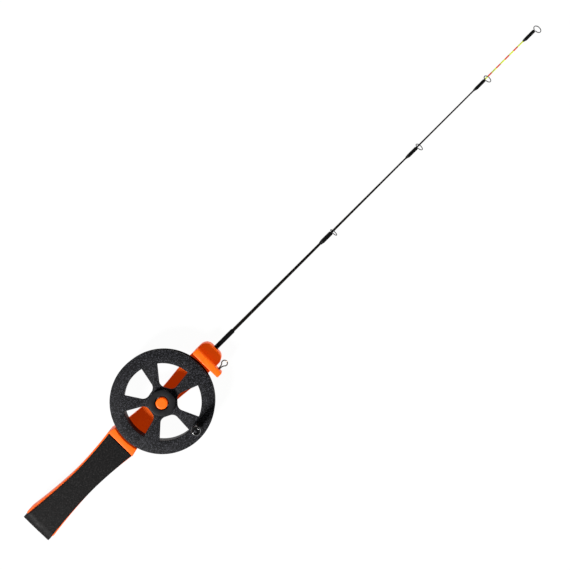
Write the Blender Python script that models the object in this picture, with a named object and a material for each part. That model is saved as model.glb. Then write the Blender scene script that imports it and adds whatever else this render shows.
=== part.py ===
"""Ice fishing rod with a hand-wheel reel.

Every size below is in millimetres and every angle in degrees; the mesh helpers turn them into
metres. X runs along the rod from butt to tip and is counted from the reel's axis, Y across it, and
Z up from the flat back of the frame. One empty then carries the whole rod, so that the world's
origin lies under the middle of its length.
"""

import math

import bmesh
import bpy
from mathutils import Matrix, Vector

MM = 0.001
GAP = 0.3  # between pieces that touch or fit

# Heights of the frame.
HANDLE_HEIGHT = 21.0
FOAM_THICKNESS = 2.8
BAR_HEIGHT = 6.5
CROSSBAR_HEIGHT = 20.7
ARM_UNDERSIDE = 9.5
NOSE_HEIGHT = 12.5

# Places along the rod.
FOAM_END = -129.4
CORE_END = -126.3
WAIST = -80.0
SHOULDER = -42.6
CROSSBAR_BACK = 40.0
CROSSBAR_FRONT = 44.9
NOSE_END = 53.2

# Half widths of the handle's core, of the foam on it, and of the bar behind the reel.
CORE_BUTT, CORE_WAIST, CORE_TOP = 13.3, 9.35, 12.3
FOAM_BUTT, FOAM_WAIST, FOAM_TOP = 12.3, 8.85, 11.4
WAIST_POWER = 1.7  # how the half widths grow away from the waist
BAR_WAIST, BAR_FRONT = 6.95, 9.3
BAR_WAIST_PLACE = 0.5
NOSE_HALF_WIDTH, NOSE_CORNER = 9.45, 6.2
CROSSBAR_LEFT, ARM_END = 9.5, -15.5
EYE_PLACE = (-12.0, 15.0)

# The reel.
REEL_RADIUS = 37.5
REEL_CLEARANCE = 38.5
WHEEL_BOTTOM, WHEEL_TOP = 18.3, 20.5
WINDOW_OUTER, WINDOW_INNER = 28.2, 10.7
WINDOWS = 5
FIRST_SPOKE = -7.5
SPOKE_NEAR = (14.0, 2.45)  # distance from the axis, half width
SPOKE_FAR = (28.0, 5.85)
FLANGE_BOTTOM, FLANGE_TOP = 8.5, 10.5
DRUM_INNER, DRUM_OUTER = 28.5, 30.6
HUB_RADIUS, HUB_TOP = 9.4, 24.4
STEM_RADIUS, STEM_BOTTOM = 6.6, 8.6
AXLE_RADIUS, AXLE_HEAD_RADIUS, AXLE_HEAD_TOP = 3.0, 4.2, 25.8
HEAD_BORE = 5.1
KNOB_DISTANCE = 30.4
KNOB_SPOKE = 4
KNOB_RADIUS, KNOB_TOP = 3.35, 38.6

# The axle's seat in the bar, and the screw that pulls on it from the back.
BOSS_RADIUS, BOSS_TOP = 6.8, 7.2
HEX_FLATS = 5.0
HEX_BOTTOM, HEX_TOP = 4.5, 7.5
SCREW_POCKET_RADIUS, SCREW_POCKET_DEPTH = 3.9, 3.2

# The whip.
WHIP_HEIGHT = 6.5
SOCKET_START = 40.8
SLEEVE_START, SLEEVE_END, SLEEVE_RADIUS = 41.4, 71.2, 1.75
BLANK_RADII = ((42.0, 1.27), (75.0, 1.23), (160.0, 0.87), (245.0, 0.53), (325.8, 0.41))
TIP_START, TIP_END, TIP_RADIUS = 326.1, 381.0, 0.45
WIRE_RADIUS = 0.3
LEG_OFFSET = 0.34
WRAP_WALL = 0.17
GUIDE_TURN = 13.0  # the guides stand up, turned this far towards -Y
GUIDE_LEAN = 12.0  # and lean this far towards the tip
GUIDE_NECK = 0.25
# number, where its wrap starts and ends, ring radius; the last is the tip's
GUIDES = (
    ("1", 161.3, 172.7, 2.9),
    ("2", 250.3, 260.9, 2.9),
    ("3", 320.4, 331.1, 2.9),
    ("tip", 371.4, 382.4, 3.25),
)

ROUND = 72
SMALL_ROUND = 24


# Materials -----------------------------------------------------------------------------------


def material(name, colour, roughness, metallic=0.0):
    made = bpy.data.materials.new(name)
    made.use_nodes = True
    shader = made.node_tree.nodes["Principled BSDF"]
    shader.inputs["Base Color"].default_value = (*colour, 1.0)
    shader.inputs["Roughness"].default_value = roughness
    shader.inputs["Metallic"].default_value = metallic
    return made


def materials():
    return {
        "orange": material("orange_plastic", (0.83, 0.19, 0.03), 0.42),
        "foam": material("grip_foam", (0.021, 0.020, 0.020), 0.85),
        "wheel": material("speckled_plastic", (0.035, 0.035, 0.040), 0.60),
        "smooth": material("smooth_plastic", (0.016, 0.016, 0.018), 0.35),
        "gloss": material("gloss_plastic", (0.010, 0.010, 0.011), 0.15),
        "blank": material("blank", (0.020, 0.018, 0.015), 0.35),
        "wrap": material("wrap", (0.006, 0.006, 0.006), 0.30),
        "tip": material("tip_paint", (0.60, 0.72, 0.07), 0.35),
        "steel": material("steel_wire", (0.42, 0.42, 0.44), 0.30, 1.0),
        "eye": material("eye_wire", (0.33, 0.25, 0.20), 0.35, 1.0),
        "fibre": material("washer_fibre", (0.55, 0.50, 0.42), 0.70),
    }


# Mesh helpers --------------------------------------------------------------------------------


def place(name, mesh, finish, parent):
    """An object made of a bmesh, shaded smooth but for its hard edges."""
    bmesh.ops.recalc_face_normals(mesh, faces=mesh.faces)
    data = bpy.data.meshes.new(name)
    mesh.to_mesh(data)
    mesh.free()
    data.shade_smooth()
    data.set_sharp_from_angle(angle=math.radians(35.0))
    data.materials.append(finish)
    made = bpy.data.objects.new(name, data)
    bpy.context.collection.objects.link(made)
    made.parent = parent
    return made


def shape(target, tool, operation):
    """Joins the tool to the target or cuts it away, and hides the tool."""
    tool.hide_render = True
    tool.display_type = "WIRE"
    change = target.modifiers.new(tool.name, "BOOLEAN")
    change.operation = operation
    change.solver = "EXACT"
    change.object = tool


def loft(rings, closed=False):
    """A solid through rings of equally many points. A closed one meets its first ring again."""
    mesh = bmesh.new()
    rows = [[mesh.verts.new(Vector(point) * MM) for point in ring] for ring in rings]
    pairs = list(zip(rows, rows[1:]))
    if closed:
        pairs.append((rows[-1], rows[0]))
    else:
        mesh.faces.new(rows[0])
        mesh.faces.new(rows[-1])
    for first, second in pairs:
        for here in range(len(first)):
            after = (here + 1) % len(first)
            mesh.faces.new((first[here], first[after], second[after], second[here]))
    return mesh


def prism(outline, low, high):
    """The outline in XY, from one height to another."""
    return loft([[(x, y, z) for x, y in outline] for z in (low, high)])


def prisms(outlines, low, high):
    """Several separate prisms in one mesh."""
    mesh = bmesh.new()
    for outline in outlines:
        one = prism(outline, low, high)
        data = bpy.data.meshes.new("prism")
        one.to_mesh(data)
        one.free()
        mesh.from_mesh(data)
        bpy.data.meshes.remove(data)
    return mesh


def turned(profile, segments=ROUND):
    """A solid turned about Z, from a closed (radius, height) profile."""
    mesh = bmesh.new()
    rings = []
    for radius, height in profile:
        if radius == 0.0:
            rings.append([mesh.verts.new((0.0, 0.0, height * MM))] * segments)
        else:
            points = [(x * MM, y * MM, height * MM) for x, y in circle(radius, segments)]
            rings.append([mesh.verts.new(point) for point in points])
    for first, second in zip(rings, rings[1:] + rings[:1]):
        for here in range(segments):
            after = (here + 1) % segments
            corners = [first[here], first[after], second[after], second[here]]
            distinct = [c for i, c in enumerate(corners) if c not in corners[:i]]
            if len(distinct) > 2:
                mesh.faces.new(distinct)
    return mesh


def circle(radius, segments, centre=(0.0, 0.0)):
    return arc(centre, radius, 0.0, 360.0 * (segments - 1) / segments, segments - 1)


def arc(centre, radius, start, end, steps):
    """Points on an arc, both ends included; angles in degrees."""
    points = []
    for step in range(steps + 1):
        angle = math.radians(start + (end - start) * step / steps)
        points.append((centre[0] + radius * math.cos(angle), centre[1] + radius * math.sin(angle)))
    return points


def rounded(corners, steps=5):
    """An outline of (x, y, corner radius) points with its corners turned into arcs."""
    outline = []
    for here, (x, y, radius) in enumerate(corners):
        corner = Vector((x, y))
        if radius == 0.0:
            outline.append((x, y))
            continue
        before = (Vector(corners[here - 1][:2]) - corner).normalized()
        after = (Vector(corners[(here + 1) % len(corners)][:2]) - corner).normalized()
        half = before.angle(after) / 2.0
        centre = corner + (before + after).normalized() * radius / math.sin(half)
        first = corner + before * radius / math.tan(half) - centre
        last = corner + after * radius / math.tan(half) - centre
        swing = first.angle_signed(last)
        for step in range(steps + 1):
            spoke = first.copy()
            spoke.rotate(Matrix.Rotation(-swing * step / steps, 2))
            outline.append(tuple(centre + spoke))
    return outline


def rod(stations, sides, centre=(0.0, WHIP_HEIGHT)):
    """A round rod along X through (place, radius) stations."""
    return loft([section(place_x, radius, sides, centre) for place_x, radius in stations])


def tube(outer, inner, sides, centre=(0.0, WHIP_HEIGHT)):
    """As a rod, with a bore through (place, radius) stations of its own."""
    stations = list(outer) + list(reversed(inner))
    return loft([section(x, radius, sides, centre) for x, radius in stations], closed=True)


def section(place_x, radius, sides, centre):
    return [(place_x, y, z) for y, z in circle(radius, sides, centre)]


def wire(name, points, finish, parent):
    """A bent round wire as a curve with filled ends."""
    curve = bpy.data.curves.new(name, "CURVE")
    curve.dimensions = "3D"
    curve.bevel_depth = WIRE_RADIUS * MM
    curve.bevel_resolution = 2
    curve.use_fill_caps = True
    spline = curve.splines.new("POLY")
    spline.points.add(len(points) - 1)
    for point, target in zip(spline.points, points):
        point.co = (*(Vector(target) * MM), 1.0)
    spline.use_smooth = True
    curve.materials.append(finish)
    made = bpy.data.objects.new(name, curve)
    bpy.context.collection.objects.link(made)
    made.parent = parent
    return made


# Outlines of the frame -----------------------------------------------------------------------


def smooth_step(value):
    value = min(max(value, 0.0), 1.0)
    return value * value * (3.0 - 2.0 * value)


def handle_half_width(x, butt, waist, top, butt_end):
    """A waisted handle: one curve from the waist to the butt, another to the shoulder."""
    if x < WAIST:
        return waist + (butt - waist) * ((WAIST - x) / (WAIST - butt_end)) ** WAIST_POWER
    return waist + (top - waist) * ((x - WAIST) / (SHOULDER - WAIST)) ** WAIST_POWER


def bar_half_width(x):
    """The bar behind the reel is narrowest next to the axle."""
    if x < BAR_WAIST_PLACE:
        return BAR_WAIST + 0.0021 * (BAR_WAIST_PLACE - x) ** 2
    return BAR_WAIST + (BAR_FRONT - BAR_WAIST) * smooth_step((x - BAR_WAIST_PLACE) / 32.0)


def mirrored(places, half_width):
    """A closed outline from half widths at places along X."""
    upper = [(x, half_width(x)) for x in places]
    return [(x, -y) for x, y in upper] + list(reversed(upper))


def spaced(start, end, count):
    return [start + (end - start) * step / count for step in range(count + 1)]


def core_outline():
    """The handle's core from its rounded butt to inside the shoulder."""

    def half_width(x):
        return handle_half_width(x, CORE_BUTT, CORE_WAIST, CORE_TOP, CORE_END)

    sides = mirrored(spaced(CORE_END, SHOULDER, 18), half_width)
    corners = [(x, y, 2.4 if x == CORE_END else 0.0) for x, y in sides]
    return rounded(corners, 4)


def shoulder_outline():
    """Full height between the foam's end and the hollow that clears the reel."""
    mouth = math.degrees(math.asin(10.9 / REEL_CLEARANCE))
    hollow = arc((0.0, 0.0), REEL_CLEARANCE, 180.0 + mouth, 180.0 - mouth, 12)
    return [(SHOULDER - 0.02, -CORE_TOP), *hollow, (SHOULDER - 0.02, CORE_TOP)]


def nose_outline():
    back, corner = CROSSBAR_FRONT - 2.0, NOSE_CORNER
    return rounded(
        [
            (back, -NOSE_HALF_WIDTH, 0.0),
            (NOSE_END, -NOSE_HALF_WIDTH, corner),
            (NOSE_END, NOSE_HALF_WIDTH, corner),
            (back, NOSE_HALF_WIDTH, 0.0),
        ],
        8,
    )


def box_outline(x0, x1, y0, y1, radius=0.0):
    return rounded([(x0, y0, radius), (x1, y0, radius), (x1, y1, radius), (x0, y1, radius)], 3)


def hexagon(flats):
    return circle(flats / math.sqrt(3.0), 6)


# Frame body ----------------------------------------------------------------------------------


def frame_moulding(finish, parent):
    """Handle core, shoulder, bar, crossbar with its side arm, and nose, moulded in one."""
    core_low = FOAM_THICKNESS + GAP
    core_high = HANDLE_HEIGHT - FOAM_THICKNESS - GAP
    frame = place("frame_moulding", prism(core_outline(), core_low, core_high), finish, parent)

    bar = mirrored(spaced(SHOULDER + 1.5, CROSSBAR_FRONT - 1.0, 24), bar_half_width)
    crossbar = box_outline(CROSSBAR_BACK, CROSSBAR_FRONT, -NOSE_HALF_WIDTH + 0.1, CROSSBAR_LEFT, 0.8)
    arm = box_outline(CROSSBAR_BACK, CROSSBAR_FRONT, ARM_END, 0.0, 0.8)
    added = (
        ("shoulder", prism(shoulder_outline(), 0.0, HANDLE_HEIGHT)),
        ("bar", prism(bar, 0.0, BAR_HEIGHT)),
        ("crossbar", prism(crossbar, 0.0, CROSSBAR_HEIGHT)),
        ("arm", prism(arm, ARM_UNDERSIDE, CROSSBAR_HEIGHT)),
        ("nose", prism(nose_outline(), 0.0, NOSE_HEIGHT)),
        ("axle_boss", prism(circle(BOSS_RADIUS, 36), BAR_HEIGHT - 1.0, BOSS_TOP)),
    )
    for name, mesh in added:
        shape(frame, place(name, mesh, finish, parent), "UNION")

    pockets = [box_outline(x, x + 18.0, -5.6, 5.6, 1.5) for x in (-116.0, -95.0, -74.0)]
    hex_hole = prism(hexagon(HEX_FLATS + 2.0 * GAP), HEX_BOTTOM - GAP, BOSS_TOP + 1.0)
    socket = rod(
        ((SOCKET_START, SLEEVE_RADIUS + GAP), (NOSE_END + 1.0, SLEEVE_RADIUS + GAP)), SMALL_ROUND
    )
    eye_hole = rod(((41.0, 1.0), (CROSSBAR_FRONT + 1.0, 1.0)), 12, EYE_PLACE)
    cut = (
        ("core_pockets", prisms(pockets, core_low - 1.0, core_high - 3.0)),
        ("axle_hole", hex_hole),
        ("screw_hole", prism(circle(1.5, 16), -1.0, HEX_BOTTOM)),
        ("screw_pocket", prism(circle(SCREW_POCKET_RADIUS, 32), -1.0, SCREW_POCKET_DEPTH)),
        ("whip_socket", socket),
        ("eye_hole", eye_hole),
    )
    for name, mesh in cut:
        shape(frame, place(name, mesh, finish, parent), "DIFFERENCE")
    return frame


def grip_foam(finish, parent):
    """One strip of foam: along the front, round the butt and back along the underside."""
    bend = 3.0
    start = SHOULDER - GAP
    turn = FOAM_END + bend
    route = [(x, HANDLE_HEIGHT, 0.0, -1.0) for x in spaced(start, turn + 1.0, 14)]
    for step in range(5):
        angle = math.radians(90.0 + 90.0 * step / 4)
        out = (math.cos(angle), math.sin(angle))
        route.append(
            (turn + bend * out[0], HANDLE_HEIGHT - bend + bend * out[1], -out[0], -out[1])
        )
    lower = [(x, HANDLE_HEIGHT - z, dx, -dz) for x, z, dx, dz in reversed(route)]
    rings = []
    for x, z, dx, dz in route + lower:
        half = handle_half_width(x, FOAM_BUTT, FOAM_WAIST, FOAM_TOP, FOAM_END)
        inner_x, inner_z = x + dx * FOAM_THICKNESS, z + dz * FOAM_THICKNESS
        rings.append(
            [(x, -half, z), (x, half, z), (inner_x, half, inner_z), (inner_x, -half, inner_z)]
        )
    return place("grip_foam", loft(rings), finish, parent)


def axle_pin(finish, parent):
    """Round pin with a low domed head, a six-sided foot that can't turn, and a tapped bore."""
    head_bottom = AXLE_HEAD_TOP - 3.6
    edge = arc((AXLE_HEAD_RADIUS - 0.6, AXLE_HEAD_TOP - 0.7), 0.6, 0.0, 80.0, 4)
    profile = [
        (0.0, HEX_TOP - 0.1),
        (AXLE_RADIUS, HEX_TOP - 0.1),
        (AXLE_RADIUS, head_bottom),
        (AXLE_HEAD_RADIUS, head_bottom),
        *edge,
        (0.0, AXLE_HEAD_TOP),
    ]
    pin = place("axle_pin", turned(profile, 40), finish, parent)
    hexagon_foot = prism(hexagon(HEX_FLATS), HEX_BOTTOM, HEX_TOP)
    shape(pin, place("hexagon_foot", hexagon_foot, finish, parent), "UNION")
    bore = prism(circle(1.35, 12), HEX_BOTTOM - 1.0, 12.0)
    shape(pin, place("tapped_bore", bore, finish, parent), "DIFFERENCE")
    return pin


def washer(name, inner, outer, low, high, rise, finish, parent):
    """A ring whose bore stands higher than its rim by the rise."""
    profile = [(inner, low + rise), (outer, low), (outer, high), (inner, high + rise)]
    return place(name, turned(profile, 32), finish, parent)


def eye_route():
    """Both legs in the arm, side by side, and a teardrop loop in front of it."""
    y, z = EYE_PLACE
    loop = arc((50.9, y), 2.1, 145.0, -145.0, 16)
    ends = [(41.5, y + 0.36), (45.2, y + 0.36), (47.1, y + 0.42)]
    back = [(x, 2.0 * y - side) for x, side in reversed(ends)]
    return [(x, side, z) for x, side in ends + loop + back]


# Drag screw body -----------------------------------------------------------------------------


def drag_screw(finish, parent):
    """Pan-head screw with a cross slot, its head inside the pocket in the frame's back."""
    head_low, head_high = 0.5, 2.25
    profile = [
        (0.0, head_low),
        (2.4, head_low),
        (3.1, head_low + 0.7),
        (3.1, head_high),
        (1.15, head_high),
        (1.15, 11.0),
        (0.0, 11.4),
    ]
    screw = place("drag_screw", turned(profile, SMALL_ROUND), finish, parent)
    slots = [box_outline(-1.7, 1.7, -0.35, 0.35), box_outline(-0.35, 0.35, -1.7, 1.7)]
    for name, outline in zip(("slot_along", "slot_across"), slots):
        shape(screw, place(name, prism(outline, -1.0, 1.5), finish, parent), "DIFFERENCE")
    return screw


# Spool body ----------------------------------------------------------------------------------


def spoke_angle(index):
    return FIRST_SPOKE + 360.0 / WINDOWS * index


def window_outline(index):
    """The opening between two spokes: straight sides, a round outer edge, rounded inner corners."""
    half_turn = math.radians(180.0 / WINDOWS)
    sides = []
    for distance, half_width in (SPOKE_NEAR, SPOKE_FAR):
        x = distance * math.cos(half_turn) + half_width * math.sin(half_turn)
        y = distance * math.sin(half_turn) - half_width * math.cos(half_turn)
        sides.append(Vector((x, y)))
    slope = (sides[1].y - sides[0].y) / (sides[1].x - sides[0].x)
    inner_y = sides[0].y + slope * (WINDOW_INNER - sides[0].x)
    edge = math.degrees(math.atan2(sides[1].y, sides[1].x))
    outer = arc((0.0, 0.0), WINDOW_OUTER, -edge, edge, 12)
    corners = [(WINDOW_INNER, inner_y, 5.0), (WINDOW_INNER, -inner_y, 5.0)]
    corners += [(x, y, 0.0) for x, y in outer]
    turn = Matrix.Rotation(math.radians(spoke_angle(index) + 180.0 / WINDOWS), 2)
    return [tuple(turn @ Vector(point)) for point in rounded(corners, 6)]


def peg_places():
    """Where the drum's pegs enter the wheel: on every spoke but the knob's."""
    places = []
    for index in range(WINDOWS):
        if index != KNOB_SPOKE:
            angle = math.radians(spoke_angle(index))
            middle = (DRUM_INNER + DRUM_OUTER) / 2.0
            places.append((middle * math.cos(angle), middle * math.sin(angle)))
    return places


def knob_place():
    angle = math.radians(spoke_angle(KNOB_SPOKE))
    return KNOB_DISTANCE * math.cos(angle), KNOB_DISTANCE * math.sin(angle)


def spool_front_wheel(finish, parent):
    """Flat wheel with five windows and a short hub behind it."""
    chamfer = 0.4
    rim = REEL_RADIUS - chamfer
    bore = STEM_RADIUS + GAP
    profile = [
        (bore, 14.0),
        (9.3, 14.0),
        (9.3, WHEEL_BOTTOM),
        (rim, WHEEL_BOTTOM),
        (REEL_RADIUS, WHEEL_BOTTOM + chamfer),
        (REEL_RADIUS, WHEEL_TOP - chamfer),
        (rim, WHEEL_TOP),
        (bore, WHEEL_TOP),
    ]
    wheel = place("spool_front_wheel", turned(profile), finish, parent)
    windows = prisms([window_outline(index) for index in range(WINDOWS)], 16.0, 23.0)
    holes = prisms([circle(1.2, 12, spot) for spot in peg_places()], 17.0, WHEEL_TOP - 0.6)
    pin_hole = prism(circle(1.3, 16, knob_place()), 17.0, 23.0)
    for name, mesh in (("windows", windows), ("peg_holes", holes), ("pin_hole", pin_hole)):
        shape(wheel, place(name, mesh, finish, parent), "DIFFERENCE")
    return wheel


def spool_drum(finish, parent):
    """Drum wall and back flange, with pegs for the wheel and a boss for the knob's pin."""
    top = WHEEL_BOTTOM - GAP
    chamfer = 0.4
    profile = [
        (DRUM_INNER, FLANGE_BOTTOM),
        (REEL_RADIUS - chamfer, FLANGE_BOTTOM),
        (REEL_RADIUS, FLANGE_BOTTOM + chamfer),
        (REEL_RADIUS, FLANGE_TOP - chamfer),
        (REEL_RADIUS - chamfer, FLANGE_TOP),
        (DRUM_OUTER, FLANGE_TOP),
        (DRUM_OUTER, top),
        (DRUM_INNER, top),
    ]
    drum = place("spool_drum", turned(profile), finish, parent)
    pegs = prisms([circle(0.8, 10, spot) for spot in peg_places()], top - 1.0, WHEEL_TOP - 0.9)
    boss = prism(circle(2.4, 20, knob_place()), FLANGE_BOTTOM + 0.5, top)
    for name, mesh in (("pegs", pegs), ("pin_boss", boss)):
        shape(drum, place(name, mesh, finish, parent), "UNION")
    bore = prism(circle(1.3, 16, knob_place()), 12.5, top + 1.0)
    shape(drum, place("pin_bore", bore, finish, parent), "DIFFERENCE")
    return drum


def hub_bush(finish, parent):
    """Raised boss on a long stem, bored for the axle and recessed for its head."""
    edge = arc((HUB_RADIUS - 0.8, HUB_TOP - 0.8), 0.8, 0.0, 90.0, 4)
    bore = AXLE_RADIUS + 0.15
    seat = WHEEL_TOP + 0.7
    profile = [
        (bore, STEM_BOTTOM),
        (STEM_RADIUS, STEM_BOTTOM),
        (STEM_RADIUS, WHEEL_TOP + GAP),
        (HUB_RADIUS, WHEEL_TOP + GAP),
        *edge,
        (HEAD_BORE, HUB_TOP),
        (HEAD_BORE, seat),
        (bore, seat),
    ]
    return place("hub_bush", turned(profile, 48), finish, parent)


def knob_pin(finish, parent):
    """Headed pin through the knob, the wheel and into the drum's boss."""
    profile = [
        (0.0, 12.9),
        (1.0, 12.9),
        (1.0, KNOB_TOP - 1.6),
        (1.9, KNOB_TOP - 1.6),
        (1.9, KNOB_TOP - 1.1),
        (1.4, KNOB_TOP - 0.7),
        (0.0, KNOB_TOP - 0.6),
    ]
    pin = place("knob_pin", turned(profile, 16), finish, parent)
    pin.location = Vector((*knob_place(), 0.0)) * MM
    return pin


# Knob body -----------------------------------------------------------------------------------


def crank_knob(finish, parent):
    """Small turned grip with a rounded rim and a recess for the pin's head."""
    low = WHEEL_TOP + GAP
    edge = arc((KNOB_RADIUS - 0.8, KNOB_TOP - 0.8), 0.8, 0.0, 90.0, 4)
    profile = [
        (1.2, low),
        (KNOB_RADIUS - 0.5, low),
        (KNOB_RADIUS - 0.2, low + 0.5),
        (KNOB_RADIUS - 0.5, low + 7.0),
        (KNOB_RADIUS, KNOB_TOP - 3.0),
        *edge,
        (2.2, KNOB_TOP),
        (2.2, KNOB_TOP - 1.9),
        (1.2, KNOB_TOP - 1.9),
    ]
    knob = place("crank_knob", turned(profile, 28), finish, parent)
    knob.location = Vector((*knob_place(), 0.0)) * MM
    return knob


# Whip ----------------------------------------------------------------------------------------


def blank_radius(x):
    """The blank's radius, in straight tapers between its stations."""
    for (x0, r0), (x1, r1) in zip(BLANK_RADII, BLANK_RADII[1:]):
        if x <= x1:
            return r0 + (r1 - r0) * (x - x0) / (x1 - x0)
    return TIP_RADIUS


def leg_height(wrap_start):
    """How far from the whip's axis the legs under a wrap lie."""
    return blank_radius(wrap_start) + WIRE_RADIUS + 0.04


def guide_foot(wrap_end):
    return wrap_end + WIRE_RADIUS + 0.05


def guide_reach(wrap_end, ring_radius):
    """How far along the rod a guide's leaning ring comes."""
    lean = math.sin(math.radians(GUIDE_LEAN))
    return guide_foot(wrap_end) + (GUIDE_NECK + 2.0 * ring_radius) * lean + WIRE_RADIUS


def guide_route(wrap_start, wrap_end, ring_radius):
    """A guide's wire: leg, foot, ring and leg again, on the upper side of the whip."""
    turn, lean = math.radians(GUIDE_TURN), math.radians(GUIDE_LEAN)
    up = Vector((0.0, -math.sin(turn), math.cos(turn)))
    across = Vector((0.0, math.cos(turn), math.sin(turn)))
    along = Vector((1.0, 0.0, 0.0))
    ring_up = up * math.cos(lean) + along * math.sin(lean)
    base = Vector((guide_foot(wrap_end), 0.0, WHIP_HEIGHT)) + up * leg_height(wrap_start)
    leg = [base - along * back + across * LEG_OFFSET for back in (9.5, 0.5)]
    leg.append(base - along * 0.15 + across * (LEG_OFFSET + 0.02) + up * 0.08)
    centre = base + ring_up * (GUIDE_NECK + ring_radius)
    ring = []
    for sideways, upward in arc((0.0, 0.0), ring_radius, -66.0, 246.0, 18):
        ring.append(centre + across * sideways + ring_up * upward)
    other = [point - across * 2.0 * (point - base).dot(across) for point in reversed(leg)]
    return leg + ring + other


def guide_wrap(name, start, end, finish, parent):
    """Shrink tube over the blank and a guide's legs, so it sits off the blank's axis."""
    height, core = leg_height(start), blank_radius(start)
    shift = (height + WIRE_RADIUS - core) / 2.0 + 0.03
    legs = math.hypot(LEG_OFFSET, height - shift) + WIRE_RADIUS
    clear = 1.05 * max(core + shift, legs)
    turn = math.radians(GUIDE_TURN)
    centre = (-math.sin(turn) * shift, WHIP_HEIGHT + math.cos(turn) * shift)
    radius, thin = clear + WRAP_WALL, clear + WRAP_WALL / 2.0
    outer = ((start, thin), (start + 2.0, radius), (end - 0.4, radius), (end, thin))
    inner = ((start, clear), (end, clear))
    return place(name, tube(outer, inner, 16, centre), finish, parent)


def whip_pieces(finish, parent):
    tip = ((TIP_START, TIP_RADIUS), (TIP_END, TIP_RADIUS))
    place("blank", rod(BLANK_RADII, 16), finish["blank"], parent)
    place("tip_section", rod(tip, 12), finish["tip"], parent)
    for label, start, end, ring_radius in GUIDES:
        guide = "tip_guide" if label == "tip" else "guide_" + label
        wrap = "tip_wrap" if label == "tip" else "wrap_" + label
        wire(guide, guide_route(start, end, ring_radius), finish["steel"], parent)
        guide_wrap(wrap, start, end, finish["wrap"], parent)


def butt_sleeve(finish, parent):
    bore = BLANK_RADII[0][1] + 0.12
    ends = (SLEEVE_START, SLEEVE_END)
    outer = (
        (ends[0], SLEEVE_RADIUS - 0.3),
        (ends[0] + 0.3, SLEEVE_RADIUS),
        (ends[1] - 0.5, SLEEVE_RADIUS),
        (ends[1], SLEEVE_RADIUS - 0.25),
    )
    inner = ((ends[0], bore), (ends[1], bore))
    return place("butt_sleeve", tube(outer, inner, SMALL_ROUND), finish, parent)


# The rod -------------------------------------------------------------------------------------


def main():
    for old in list(bpy.data.objects):
        bpy.data.objects.remove(old)
    finish = materials()
    rod_end = guide_reach(GUIDES[-1][2], GUIDES[-1][3])
    middle = bpy.data.objects.new("rod_origin", None)
    middle.location.x = -(FOAM_END + rod_end) / 2.0 * MM
    bpy.context.collection.objects.link(middle)

    frame_moulding(finish["orange"], middle)
    grip_foam(finish["foam"], middle)
    axle_pin(finish["orange"], middle)
    washer("friction_washer", 3.3, 4.8, 21.45, 21.9, 0.0, finish["fibre"], middle)
    washer("spring_washer", 3.4, 6.2, 7.5, 7.95, 0.3, finish["steel"], middle)
    washer("screw_washer", 1.6, 3.5, 2.55, 2.95, 0.0, finish["steel"], middle)
    wire("line_eye", eye_route(), finish["eye"], middle)
    drag_screw(finish["steel"], middle)

    spool_front_wheel(finish["wheel"], middle)
    spool_drum(finish["smooth"], middle)
    hub_bush(finish["smooth"], middle)
    knob_pin(finish["steel"], middle)
    crank_knob(finish["gloss"], middle)

    butt_sleeve(finish["smooth"], middle)
    whip_pieces(finish, middle)


main()
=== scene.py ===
"""The looks of an ice fishing rod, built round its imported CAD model.

Pieces are drawn in millimetres, X counted from the reel's axis towards the tip, Y across the rod
and Z up from the frame's back. `settle` moves each one into the row frame, in metres.
"""

import math

import bmesh
import bpy
from mathutils import Matrix, Vector, noise


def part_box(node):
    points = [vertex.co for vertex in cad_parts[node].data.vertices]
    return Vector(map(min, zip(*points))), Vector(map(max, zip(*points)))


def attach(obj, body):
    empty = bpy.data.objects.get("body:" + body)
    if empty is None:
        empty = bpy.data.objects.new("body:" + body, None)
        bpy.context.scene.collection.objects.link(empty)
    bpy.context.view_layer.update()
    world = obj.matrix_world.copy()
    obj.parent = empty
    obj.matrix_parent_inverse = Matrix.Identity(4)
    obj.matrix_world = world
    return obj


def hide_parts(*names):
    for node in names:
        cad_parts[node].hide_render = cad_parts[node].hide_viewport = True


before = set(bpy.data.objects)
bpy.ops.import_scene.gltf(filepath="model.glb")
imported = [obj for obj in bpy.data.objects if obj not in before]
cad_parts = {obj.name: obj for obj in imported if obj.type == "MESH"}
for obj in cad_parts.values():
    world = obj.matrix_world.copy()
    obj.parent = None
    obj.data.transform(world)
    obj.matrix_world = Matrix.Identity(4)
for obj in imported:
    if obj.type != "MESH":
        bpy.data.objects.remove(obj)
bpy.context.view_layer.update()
scene = bpy.context.scene

MM = 0.001
wheel_low, wheel_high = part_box("spool_front_wheel")
REEL = Vector(((wheel_low.x + wheel_high.x) / 2.0, 0.0, 0.0))


def cad(node):
    """A CAD node's lowest and highest corner in this script's millimetres."""
    low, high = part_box(node)
    return (low - REEL) / MM, (high - REEL) / MM


# Sizes read from the frame ---------------------------------------------------------------------

FOAM_END, FOAM_HIGH = cad("grip_foam")[0].x, cad("grip_foam")[1].z
FOAM_START = cad("grip_foam")[1].x
CORE_END, NOSE_END = cad("frame_moulding")[0].x, cad("frame_moulding")[1].x
ARM_END = cad("frame_moulding")[0].y
REEL_RADIUS = cad("spool_front_wheel")[1].x
WHEEL_TOP = cad("spool_front_wheel")[1].z
FLANGE_BOTTOM = cad("spool_drum")[0].z
HUB_RADIUS, HUB_TOP, STEM_BOTTOM = cad("hub_bush")[1].x, cad("hub_bush")[1].z, cad("hub_bush")[0].z
BUTTON_RADIUS, BUTTON_TOP, FOOT_BOTTOM = (
    cad("axle_pin")[1].x,
    cad("axle_pin")[1].z,
    cad("axle_pin")[0].z,
)
KNOB_LOW, KNOB_HIGH = cad("crank_knob")
KNOB = (KNOB_LOW + KNOB_HIGH) / 2.0
KNOB_RADIUS = (KNOB_HIGH.x - KNOB_LOW.x) / 2.0
SLEEVE_LOW, SLEEVE_HIGH = cad("butt_sleeve")
WHIP_HEIGHT = (SLEEVE_LOW.z + SLEEVE_HIGH.z) / 2.0
SLEEVE_RADIUS = (SLEEVE_HIGH.z - SLEEVE_LOW.z) / 2.0
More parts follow.
